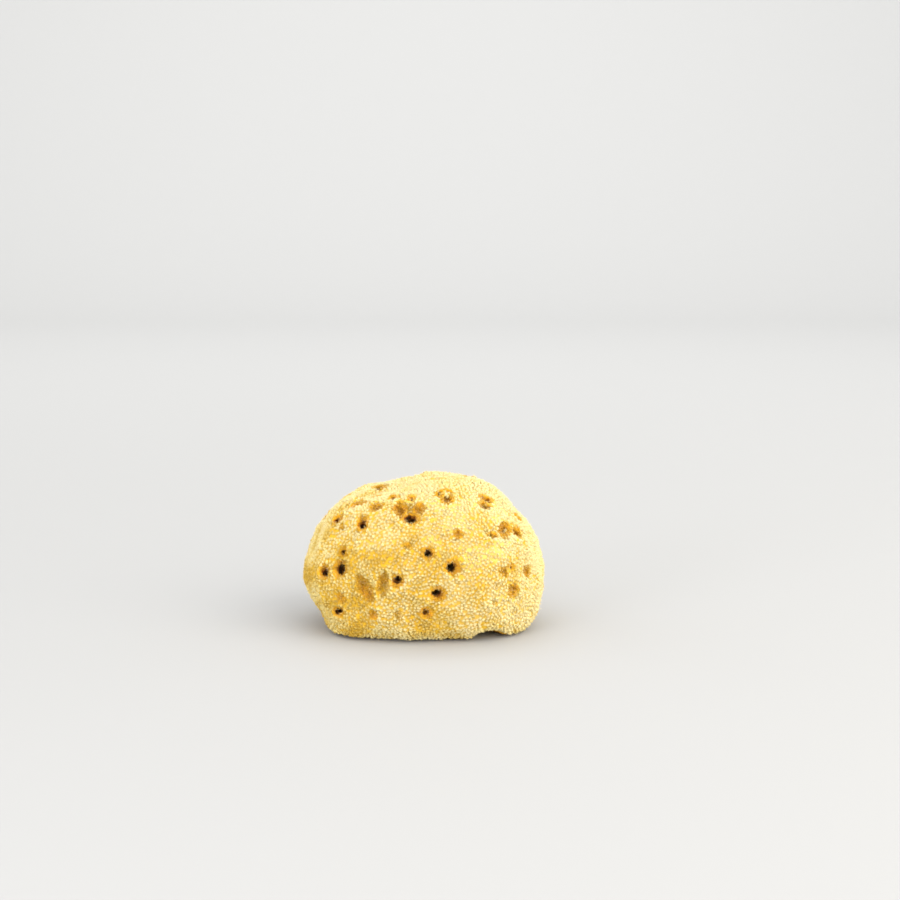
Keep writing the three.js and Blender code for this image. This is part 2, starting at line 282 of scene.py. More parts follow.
def crease(tree, position, normal, start, end):
    """How far one crease lifts the skin: a lip along a line, and a trough behind the lip."""
    line = end - start
    unit = line.normalized()
    from_start = add_node(tree, "ShaderNodeVectorMath", SUBTRACT, {0: position, 1: start})
    along = add_node(
        tree, "ShaderNodeVectorMath", DOT_PRODUCT, {0: from_start.outputs[0], 1: unit}
    ).outputs["Value"]
    behind = add_node(tree, "ShaderNodeVectorMath", {"operation": "CROSS_PRODUCT"}, {0: normal, 1: unit})
    back = add_node(
        tree, "ShaderNodeVectorMath", DOT_PRODUCT, {0: from_start.outputs[0], 1: behind.outputs[0]}
    ).outputs["Value"]
    height = 0.0
    for centre, rise in ((0, CREASE_LIP), (CREASE_BACK, -CREASE_TROUGH)):
        off = add_node(tree, "ShaderNodeMath", SUBTRACT, {0: back, 1: centre})
        far = add_node(tree, "ShaderNodeMath", {"operation": "ABSOLUTE"}, {0: off.outputs[0]})
        bank = add_node(
            tree,
            "ShaderNodeMapRange",
            SMOOTH,
            {"Value": far.outputs[0], "From Max": CREASE_BANK, "To Min": rise, "To Max": 0},
        )
        height = add_node(tree, "ShaderNodeMath", ADD, {0: bank.outputs[0], 1: height}).outputs[0]

    # It fades over the last sixth of the line at each end, and outside the ball that the line crosses
    middle = (start + end) / 2
    from_middle = add_node(tree, "ShaderNodeMath", SUBTRACT, {0: along, 1: line.length / 2})
    past = add_node(tree, "ShaderNodeMath", {"operation": "ABSOLUTE"}, {0: from_middle.outputs[0]})
    inside = add_node(
        tree,
        "ShaderNodeMapRange",
        SMOOTH,
        {"Value": past.outputs[0], "From Min": line.length / 2, "From Max": line.length / 3},
    )
    reach = add_node(tree, "ShaderNodeVectorMath", {"operation": "DISTANCE"}, {0: position, 1: middle})
    near = add_node(
        tree,
        "ShaderNodeMapRange",
        SMOOTH,
        {
            "Value": reach.outputs["Value"],
            "From Min": line.length / 2 + CREASE_REACH,
            "From Max": line.length / 2,
        },
    )
    for share in (inside, near):
        height = add_node(tree, "ShaderNodeMath", MULTIPLY, {0: height, 1: share.outputs[0]}).outputs[0]
    return height


def ground_tree(sizes, material):
    """Smooths the remeshed solid, finds how open each point lies, and sinks the skin by a tuft's height."""
    tree = new_geometry_tree("sponge ground")
    given = add_node(tree, "NodeGroupInput")
    position = add_node(tree, "GeometryNodeInputPosition").outputs[0]
    normal = add_node(tree, "GeometryNodeInputNormal").outputs["Normal"]
    smoothed = add_node(
        tree, "GeometryNodeBlurAttribute", OF_VECTORS, {"Value": position, "Iterations": ROUNDING}
    )
    rounded = add_node(
        tree,
        "GeometryNodeSetPosition",
        inputs={"Geometry": given.outputs[0], "Position": smoothed.outputs[0]},
    ).outputs[0]

    # How open each point lies: the share of its hemisphere that meets nothing
    lift = add_node(tree, "ShaderNodeVectorMath", SCALE, {0: normal, "Scale": LIFT})
    eye = add_node(tree, "ShaderNodeVectorMath", ADD, {0: position, 1: lift.outputs[0]})
    hits = 0.0
    for ray in range(RAYS):
        spread = add_node(
            tree, "FunctionNodeRandomValue", OF_VECTORS, {0: (-1, -1, -1), 1: (1, 1, 1), "Seed": ray}
        )
        unit = add_node(tree, "ShaderNodeVectorMath", {"operation": "NORMALIZE"}, {0: spread.outputs[0]})
        way = add_node(tree, "ShaderNodeVectorMath", ADD, {0: normal, 1: unit.outputs[0]})
        seen = add_node(
            tree,
            "GeometryNodeRaycast",
            inputs={
                "Target Geometry": rounded,
                "Source Position": eye.outputs[0],
                "Ray Direction": way.outputs[0],
                "Ray Length": LOOK,
            },
        )
        hits = add_node(tree, "ShaderNodeMath", ADD, {0: seen.outputs["Is Hit"], 1: hits}).outputs[0]
    share = add_node(
        tree, "ShaderNodeMapRange", inputs={"Value": hits, "From Max": RAYS, "To Min": 1, "To Max": 0}
    )
    even = add_node(
        tree,
        "GeometryNodeBlurAttribute",
        OF_NUMBERS,
        {"Value": share.outputs[0], "Iterations": OPEN_BLUR},
    )

    # A hollow shelters what lies in it, and a rim stands free
    around = add_node(
        tree, "GeometryNodeBlurAttribute", OF_VECTORS, {"Value": position, "Iterations": HOLLOW_BLUR}
    )
    outer = add_node(tree, "ShaderNodeVectorMath", SUBTRACT, {0: around.outputs[0], 1: position})
    hollow = add_node(tree, "ShaderNodeVectorMath", DOT_PRODUCT, {0: outer.outputs[0], 1: normal})
    free = add_node(
        tree, "ShaderNodeMath", MULTIPLY_ADD, {0: hollow.outputs["Value"], 1: -HOLLOW, 2: even.outputs[0]}
    )
    least = add_node(tree, "ShaderNodeMath", {"operation": "MINIMUM"}, {0: even.outputs[0], 1: SHELTERED})
    free = add_node(tree, "ShaderNodeMath", MAXIMUM, {0: free.outputs[0], 1: least.outputs[0]})
    opened = add_node(
        tree,
        "GeometryNodeStoreNamedAttribute",
        {"data_type": "FLOAT", "domain": "POINT"},
        {"Geometry": rounded, "Name": "open", "Value": free.outputs[0]},
    ).outputs[0]

    # The cut base faces down and lies on the floor
    height = add_node(tree, "ShaderNodeSeparateXYZ", inputs={0: position}).outputs["Z"]
    facing = add_node(tree, "ShaderNodeSeparateXYZ", inputs={0: normal}).outputs["Z"]
    low, down = (
        add_node(tree, "ShaderNodeMapRange", inputs={"Value": value, "From Min": start, "From Max": end})
        for value, (start, end) in ((height, CUT_HEIGHT), (facing, CUT_FACING))
    )
    cut = add_node(tree, "ShaderNodeMath", MULTIPLY, {0: low.outputs[0], 1: down.outputs[0]}).outputs[0]

    # Its rim shows in the normals, which lean outwards there once they are blurred
    blurred = add_node(
        tree, "GeometryNodeBlurAttribute", OF_VECTORS, {"Value": normal, "Iterations": RIM_BLUR}
    )
    sideways = add_node(tree, "ShaderNodeVectorMath", MULTIPLY, {0: blurred.outputs[0], 1: FLAT})
    rim = add_node(tree, "ShaderNodeVectorMath", {"operation": "LENGTH"}, {0: sideways.outputs[0]})
    curl = add_node(
        tree,
        "ShaderNodeMapRange",
        SMOOTH,
        {"Value": rim.outputs["Value"], "From Min": RIM_LEAN[0], "From Max": RIM_LEAN[1]},
    )
    flat_part = add_node(tree, "ShaderNodeMath", SUBTRACT, {0: 1.0, 1: curl.outputs[0]})
    bare = add_node(tree, "ShaderNodeMath", MULTIPLY, {0: cut, 1: flat_part.outputs[0]})
    marked = add_node(
        tree,
        "GeometryNodeStoreNamedAttribute",
        {"data_type": "FLOAT", "domain": "POINT"},
        {"Geometry": opened, "Name": "cut", "Value": bare.outputs[0]},
    ).outputs[0]

    # The skin sinks under its tufts, but canals and the base keep their place
    open_share = add_node(
        tree, "GeometryNodeInputNamedAttribute", OF_NUMBERS, {"Name": "open"}
    ).outputs["Attribute"]
    on_skin = add_node(
        tree,
        "ShaderNodeMapRange",
        SMOOTH,
        {"Value": open_share, "From Min": IN_A_MOUTH, "From Max": OPEN_SKIN},
    )
    waved = add_node(
        tree,
        "ShaderNodeVectorMath",
        MULTIPLY_ADD,
        {0: drift(tree, CREASE_WAVE, 2), 1: [CREASE_WAVE] * 3, 2: position},
    ).outputs[0]
    shift = -sizes.tuft_height
    for start, end in CREASES:
        fold = crease(tree, waved, normal, start, end)
        shift = add_node(tree, "ShaderNodeMath", ADD, {0: fold, 1: shift}).outputs[0]
    shift = add_node(tree, "ShaderNodeMath", MULTIPLY, {0: shift, 1: on_skin.outputs[0]}).outputs[0]
    for size, deep in LUMPS:
        lump = uneven(tree, size, 1, -deep, deep / 3)
        shift = add_node(tree, "ShaderNodeMath", ADD, {0: shift, 1: lump}).outputs[0]
    off_base = add_node(tree, "ShaderNodeMath", SUBTRACT, {0: 1.0, 1: cut})
    shift = add_node(tree, "ShaderNodeMath", MULTIPLY, {0: shift, 1: off_base.outputs[0]})
    sink = add_node(tree, "ShaderNodeVectorMath", SCALE, {0: normal, "Scale": shift.outputs[0]})

    # Pores in the cut base go up into it
    cell = add_node(tree, "ShaderNodeTexVoronoi", {"feature": "F1"}, {"Scale": 1 / BASE_PORE})
    pore = add_node(
        tree,
        "ShaderNodeMapRange",
        SMOOTH,
        {
            "Value": cell.outputs["Distance"],
            "From Min": BASE_PORE_EDGE[0],
            "From Max": BASE_PORE_EDGE[1],
            "To Max": BASE_PORE_DEPTH,
        },
    )
    pore_up = add_node(tree, "ShaderNodeMath", MULTIPLY, {0: pore.outputs[0], 1: cut})

    # The base draws in under the skin, and its rim curls a little way off the floor
    curled = add_node(tree, "ShaderNodeMath", MULTIPLY, {0: curl.outputs[0], 1: RIM_CURL})
    curl_up = add_node(tree, "ShaderNodeMath", MULTIPLY, {0: curled.outputs[0], 1: cut})
    raised = add_node(tree, "ShaderNodeMath", MAXIMUM, {0: curl_up.outputs[0], 1: pore_up.outputs[0]})
    up = add_node(tree, "ShaderNodeCombineXYZ", inputs={"Z": raised.outputs[0]})
    share_in = -BASE_DRAW * sizes.tuft_height / BASE_RADIUS
    draw = add_node(tree, "ShaderNodeMath", MULTIPLY, {0: cut, 1: share_in})
    flat = add_node(tree, "ShaderNodeVectorMath", MULTIPLY, {0: position, 1: FLAT})
    drawn = add_node(tree, "ShaderNodeVectorMath", SCALE, {0: flat.outputs[0], "Scale": draw.outputs[0]})
    move = sink.outputs[0]
    for part in (up, drawn):
        move = add_node(tree, "ShaderNodeVectorMath", ADD, {0: move, 1: part.outputs[0]}).outputs[0]
    moved = add_node(tree, "GeometryNodeSetPosition", inputs={"Geometry": marked, "Offset": move}).outputs[0]
    finish_tree(tree, moved, material)
    return tree


def finish_tree(tree, geometry, material):
    """Keeps the geometry above the floor, gives it its material and sends it out."""
    position = add_node(tree, "GeometryNodeInputPosition").outputs[0]
    parts = add_node(tree, "ShaderNodeSeparateXYZ", inputs={0: position})
    above = add_node(tree, "ShaderNodeMath", MAXIMUM, {0: parts.outputs["Z"], 1: 0.0})
    place = add_node(
        tree,
        "ShaderNodeCombineXYZ",
        inputs={"X": parts.outputs["X"], "Y": parts.outputs["Y"], "Z": above.outputs[0]},
    )
    kept = add_node(
        tree, "GeometryNodeSetPosition", inputs={"Geometry": geometry, "Position": place.outputs[0]}
    )
    painted = add_node(
        tree, "GeometryNodeSetMaterial", inputs={"Geometry": kept.outputs[0], "Material": material}
    )
    add_node(tree, "NodeGroupOutput", inputs={0: painted.outputs[0]})


def spike(bm, root, tip, width, along_root, along_tip):
    """A three-sided fibre from root to tip, with how far out it lies written on its vertices."""
    way = tip - root
    turn = way.to_track_quat("Z", "Y").to_matrix().to_4x4()
    made = bmesh.ops.create_cone(
        bm,
        cap_ends=True,
        segments=3,
        radius1=width / 2,
        radius2=0,
        depth=way.length,
        matrix=Matrix.Translation((root + tip) / 2) @ turn,
    )
    layer = bm.verts.layers.float["along"]
    for vertex in made["verts"]:
        at_tip = (vertex.co - tip).length < (vertex.co - root).length
        vertex[layer] = along_tip if at_tip else along_root


# A ridge's end and its bend towards the tip, and the same of the groove between two ridges: how far
# out and how high, as shares of foot and height, and how far along from the ground it counts as lying
RIDGE = ((1.1, 0.1, 0.8), (0.5, 0.42, 0.95))
GROOVE = ((0.42, -0.35, 0), (0.26, 0.1, 0.45))
PEAK = 0.72  # height of the solid peak, as a share of the height that its fibres reach
PEAK_LEAN = 0.25  # how far the peak leans to each side at most, as a share of the foot
TURN = 0.45  # how far a ridge or groove may turn, where 1 takes it to the next one
FAR = (0.7, 1.2)  # how far out it lies, where 1 is its even place
UP = (0.6, 1.3)  # and how high
FIBRE_LEAN = 0.4  # share of the peak's lean that its fibres follow
FIBRE_TURN = 0.4  # how far a fibre may turn, where 1 takes it to the next one
FIBRE_ROOT = (0.05, 0.6)  # how far out it starts, as a share of the foot
FIBRE_OUT = (-0.3, 0.45)  # how far it leans in or out, as a share of the foot
FIBRE_LOW = (0, 0.3)  # how high it starts, as a share of the tuft's height
FIBRE_HIGH = (0.65, 1.05)  # and how high it ends
FIBRE_WIDTH = (1, 1.8)  # its width, where 1 is the fibre width that is set
FIBRE_ALONG = 0.5  # how far along from the ground its root counts as lying
MOUTH_FIBRES = 3  # mouth fibres that spring from one place
MOUTH_ROOT = 0.25 * MM  # how far from there they start
MOUTH_SUNK = 0.3 * MM  # how deep in the ground
MOUTH_OUT = (0.1, 0.45)  # how far they lean, as a share of their length
MOUTH_HIGH = (0.4, 1)  # and how high they reach
MOUTH_WIDTH = 1.8  # their width, where 1 is the fibre width that is set
MOUTH_ALONG = 2  # how far out the tip of a mouth fibre counts as lying, where a tuft's tip is 1


def tuft_mesh(name, sizes, rng):
    """One tuft: a peak whose ridges run across to its neighbours, and fibres that stand up from it."""
    bm = bmesh.new()
    layer = bm.verts.layers.float.new("along")
    foot, height = sizes.tuft_foot, sizes.tuft_height
    lean = Vector((rng.uniform(-1, 1), rng.uniform(-1, 1), 0)) * PEAK_LEAN * foot
    turn = rng.uniform(0, math.tau)
    low, bend = [], []
    for i in range(2 * sizes.ridges):
        angle = turn + math.tau * (i + rng.uniform(-TURN, TURN)) / (2 * sizes.ridges)
        out = Vector((math.cos(angle), math.sin(angle), 0)) * foot
        for ring, (far, up, along) in zip((low, bend), GROOVE if i % 2 else RIDGE):
            place = out * far * rng.uniform(*FAR) + lean * max(up, 0)
            corner = bm.verts.new(place + Vector((0, 0, up * height * rng.uniform(*UP))))
            corner[layer] = along
            ring.append(corner)
    peak = bm.verts.new(lean + Vector((0, 0, PEAK * height)))
    peak[layer] = 1
    for i in range(len(low)):
        j = (i + 1) % len(low)
        bm.faces.new((low[i], low[j], bend[j], bend[i])).smooth = True
        bm.faces.new((bend[i], bend[j], peak)).smooth = True
    bm.faces.new(reversed(low))
    for i in range(sizes.fibres):
        angle = turn + math.tau * (i + rng.uniform(-FIBRE_TURN, FIBRE_TURN)) / sizes.fibres
        out = Vector((math.cos(angle), math.sin(angle), 0)) * foot
        root = lean * FIBRE_LEAN + out * rng.uniform(*FIBRE_ROOT)
        tip = root + out * rng.uniform(*FIBRE_OUT)
        root.z = height * rng.uniform(*FIBRE_LOW)
        tip.z = height * rng.uniform(*FIBRE_HIGH)
        spike(bm, root, tip, sizes.fibre_width * rng.uniform(*FIBRE_WIDTH), FIBRE_ALONG, 1)
    return finished_mesh(name, bm)


def mouth_fibre_mesh(name, sizes, rng):
    """A few long thin fibres that spring from one place at a canal's mouth."""
    bm = bmesh.new()
    bm.verts.layers.float.new("along")
    for _ in range(MOUTH_FIBRES):
        angle = rng.uniform(0, math.tau)
        out = Vector((math.cos(angle), math.sin(angle), 0))
        root = out * MOUTH_ROOT
        root.z = -MOUTH_SUNK
        tip = out * sizes.mouth_fibre * rng.uniform(*MOUTH_OUT)
        tip.z = sizes.mouth_fibre * rng.uniform(*MOUTH_HIGH)
        spike(bm, root, tip, sizes.fibre_width * MOUTH_WIDTH, 0, MOUTH_ALONG)
    return finished_mesh(name, bm)


def stock(name, meshes):
    """A collection outside the scene that holds meshes to choose from."""
    shelf = bpy.data.collections.new(name)
    for mesh in meshes:
        shelf.objects.link(bpy.data.objects.new(mesh.name, mesh))
    return shelf


def clear_stock(shelf):
    """Removes a stock once what was made from it has its own mesh."""
    for item in list(shelf.objects):
        bpy.data.meshes.remove(item.data)
    bpy.data.collections.remove(shelf)


LEAN_SIZE = 14 * MM  # tufts this close together lean the same way
LEAN = 0.55  # how far they lean, where 1 is half over
RAGGED = 0.14  # how much the edge of a bare patch wanders, as a share of openness
RAGGED_SIZE = 2.5 * MM
CUT_SHARE = 0.3  # nothing grows on ground that is cut by this share
FULL_SIZE = 0.32  # pieces that lie open by this share are not made smaller
SMALLEST = 0.5  # size of the pieces that lie deepest, as a share of those on the open skin
MIDDLE = (0, 0, 30 * MM)  # the sponge's middle, which pieces can be turned away from
CLEAR = 5 * MM  # pieces this far above the floor may point straight down
DENSE = 5e6  # points a square metre that the spacing then thins out
LOOSE = 1.3e6  # fewer points, which leave gaps of uneven width


def scatter_tree(name, body, shelf, spacing, density, reach, outwards, scale, material, seed):
    """Puts pieces from a shelf on the ground where it lies open by a share within reach.

    The tree's input says which sector of the sponge it makes. Outwards is how far the pieces turn
    from the ground's own direction to point away from the sponge's middle.
    """
    tree = new_geometry_tree(name)
    tree.interface.new_socket("Sector", in_out="INPUT", socket_type="NodeSocketInt")
    tree.interface.new_socket("Sectors", in_out="INPUT", socket_type="NodeSocketInt")
    start = add_node(tree, "NodeGroupInput")
    ground = add_node(
        tree, "GeometryNodeObjectInfo", {"transform_space": "ORIGINAL"}, {"Object": body}
    ).outputs["Geometry"]
    points = add_node(
        tree,
        "GeometryNodeDistributePointsOnFaces",
        {"distribute_method": "POISSON"},
        {"Mesh": ground, "Distance Min": spacing, "Density Max": density, "Seed": seed},
    )
    position = add_node(tree, "GeometryNodeInputPosition").outputs[0]
    open_share, cut = (
        add_node(
            tree, "GeometryNodeInputNamedAttribute", OF_NUMBERS, {"Name": attribute}
        ).outputs["Attribute"]
        for attribute in ("open", "cut")
    )

    # Which sector a point lies in, counted round the upright axis
    parts = add_node(tree, "ShaderNodeSeparateXYZ", inputs={0: position})
    angle = add_node(
        tree, "ShaderNodeMath", {"operation": "ARCTAN2"}, {0: parts.outputs["Y"], 1: parts.outputs["X"]}
    )
    whole_turn = add_node(
        tree,
        "ShaderNodeMapRange",
        inputs={
            "Value": angle.outputs[0],
            "From Min": -math.pi,
            "From Max": math.pi,
            "To Max": start.outputs["Sectors"],
        },
    )
    number = add_node(tree, "ShaderNodeMath", {"operation": "FLOOR"}, {0: whole_turn.outputs[0]})
    elsewhere = add_node(
        tree,
        "FunctionNodeCompare",
        {"data_type": "FLOAT", "operation": "NOT_EQUAL"},
        {"A": number.outputs[0], "B": start.outputs["Sector"], "Epsilon": 0.5},
    )

    # Where the ground lies too deep or too open, or is cut
    wander = uneven(tree, RAGGED_SIZE, 1, -RAGGED, RAGGED)
    ragged = add_node(tree, "ShaderNodeMath", ADD, {0: open_share, 1: wander})
    too_deep = add_node(
        tree, "ShaderNodeMath", {"operation": "LESS_THAN"}, {0: ragged.outputs[0], 1: reach[0]}
    )
    too_open = add_node(
        tree, "ShaderNodeMath", {"operation": "GREATER_THAN"}, {0: ragged.outputs[0], 1: reach[1]}
    )
    on_cut = add_node(tree, "ShaderNodeMath", {"operation": "GREATER_THAN"}, {0: cut, 1: CUT_SHARE})
    bare = elsewhere.outputs[0]
    for reason in (too_deep, too_open, on_cut):
        bare = add_node(tree, "ShaderNodeMath", MAXIMUM, {0: bare, 1: reason.outputs[0]}).outputs[0]
    placed = add_node(
        tree,
        "GeometryNodeDeleteGeometry",
        {"domain": "POINT"},
        {"Geometry": points.outputs["Points"], "Selection": bare},
    ).outputs[0]

    # Each piece stands up from the ground, leans with its neighbours and turns at random
    away = add_node(tree, "ShaderNodeVectorMath", SUBTRACT, {0: position, 1: MIDDLE})
    away_unit = add_node(tree, "ShaderNodeVectorMath", {"operation": "NORMALIZE"}, {0: away.outputs[0]})
    away_part = add_node(
        tree, "ShaderNodeVectorMath", SCALE, {0: away_unit.outputs[0], "Scale": outwards}
    )
    lean = add_node(
        tree, "ShaderNodeVectorMath", SCALE, {0: drift(tree, LEAN_SIZE, 1), "Scale": 2 * LEAN}
    )
    way = points.outputs["Normal"]
    for part in (away_part, lean):
        way = add_node(tree, "ShaderNodeVectorMath", ADD, {0: way, 1: part.outputs[0]}).outputs[0]

    # Near the floor a piece points less far down, so that it stands out from under the sponge
    ways = add_node(tree, "ShaderNodeSeparateXYZ", inputs={0: way})
    floor = add_node(tree, "ShaderNodeMath", MULTIPLY, {0: parts.outputs["Z"], 1: -1 / CLEAR})
    down = add_node(tree, "ShaderNodeMath", MAXIMUM, {0: ways.outputs["Z"], 1: floor.outputs[0]})
    way = add_node(
        tree,
        "ShaderNodeCombineXYZ",
        inputs={"X": ways.outputs["X"], "Y": ways.outputs["Y"], "Z": down.outputs[0]},
    )
    upright = add_node(tree, "FunctionNodeAlignRotationToVector", {"axis": "Z"}, {"Vector": way.outputs[0]})
    yaw = add_node(tree, "FunctionNodeRandomValue", OF_NUMBERS, {3: math.tau, "Seed": seed + 1})
    spin = add_node(
        tree, "FunctionNodeAxisAngleToRotation", inputs={"Axis": (0, 0, 1), "Angle": yaw.outputs[1]}
    )
    turned = add_node(
        tree,
        "FunctionNodeRotateRotation",
        {"rotation_space": "LOCAL"},
        {"Rotation": upright.outputs[0], "Rotate By": spin.outputs[0]},
    )
    kind = add_node(
        tree,
        "FunctionNodeRandomValue",
        {"data_type": "INT"},
        {4: 0, 5: len(shelf.objects) - 1, "Seed": seed + 2},
    )
    size = add_node(
        tree, "FunctionNodeRandomValue", OF_NUMBERS, {2: scale[0], 3: scale[1], "Seed": seed + 3}
    )
    smaller = add_node(
        tree,
        "ShaderNodeMapRange",
        inputs={
            "Value": open_share,
            "From Min": reach[0],
            "From Max": FULL_SIZE,
            "To Min": SMALLEST,
            "To Max": 1,
        },
    )
    size = add_node(tree, "ShaderNodeMath", MULTIPLY, {0: size.outputs[1], 1: smaller.outputs[0]})
    choice = add_node(
        tree, "GeometryNodeCollectionInfo", inputs={"Collection": shelf, "Separate Children": True}
    )
    grown = add_node(
        tree,
        "GeometryNodeInstanceOnPoints",
        inputs={
            "Points": placed,
            "Instance": choice.outputs[0],
            "Pick Instance": True,
            "Instance Index": kind.outputs[2],
            "Rotation": turned.outputs[0],
            "Scale": size.outputs[0],
        },
    )
    tint = add_node(tree, "FunctionNodeRandomValue", OF_NUMBERS, {"Seed": seed + 4})
    tinted = add_node(
        tree,
        "GeometryNodeStoreNamedAttribute",
        {"data_type": "FLOAT", "domain": "INSTANCE"},
        {"Geometry": grown.outputs[0], "Name": "tint", "Value": tint.outputs[1]},
    )
    real = add_node(tree, "GeometryNodeRealizeInstances", inputs={"Geometry": tinted.outputs[0]})
    finish_tree(tree, real.outputs[0], material)
    return tree


def scatter_piece(name, tree, sector, sectors):
    """Makes the piece that a scatter tree gives for one sector of the sponge."""
    piece = new_object(name, bpy.data.meshes.new(name))
    modifier = piece.modifiers.new("scatter", "NODES")
    modifier.node_group = tree
    sockets = {item.name: item.identifier for item in tree.interface.items_tree}
    modifier[sockets["Sector"]] = sector
    modifier[sockets["Sectors"]] = sectors
    apply_modifiers(piece)
    join_frame(piece)


GRAIN = 2.5 * MM  # size of the noise that moves every edge between two colours
GRAIN_SHIFT = 0.12  # how far it moves the openness
MOUTH_TIP = 0.7  # openness that a mouth fibre's tip gains
FOOT_SHADOW = (1.2 * MM, 3 * MM)  # height of the painted shadow along the ground's foot, where it is whole and where it has gone
FOOT_SHADOW_OPEN = 0.02  # share of its openness that is left under that painted shadow
TINT = (0.75, 1.15)  # paling of the least and the most pale tuft
PATCH = 14 * MM  # size of the bleached patches
PATCH_EDGE = (0.38, 0.62)  # noise just inside and just outside a patch
PATCH_WEAR = (1.2, 0.6)  # paling within a patch and away from it
LIGHT_SIDE = (0.55, -0.1, 0.6)  # the way to the lit side, where the sponge is painted palest as painted light
SIDE_LIGHT_REACH = (-30 * MM, 65 * MM)  # where that painted light is least and most, along that way
SIDE_LIGHT_PALING = (0.45, 1.2)  # paling from that painted light
GROUND_PALING = 0.4  # what the bare ground has of it, where a tuft's tip has 1 more
UNSEEN_PALING = 0.27  # so much of it doesn't show
OUTSIDE = (0.35, 0.85)  # openness where paling starts to show, and where it shows in full
INSIDE_PALING = 0.05  # share of it that shows deeper down
FLANK_PALING = (0.05, 0.45)  # paling that gives the flank's colour
TIP_PALING = (0.3, 0.8)  # and the tip's
PORE = 0.55 * MM  # spacing of the pores, which is about twice the real one so that they show
PORE_WALL = (0.1, 0.5)  # from a pore's floor to the top of its wall, as shares of the spacing
PORE_SHADE = 0.4  # how much of the mouth's colour is painted into a pore as shade
PORE_DEPTH = 0.25 * MM
PORE_STRENGTH = 0.7


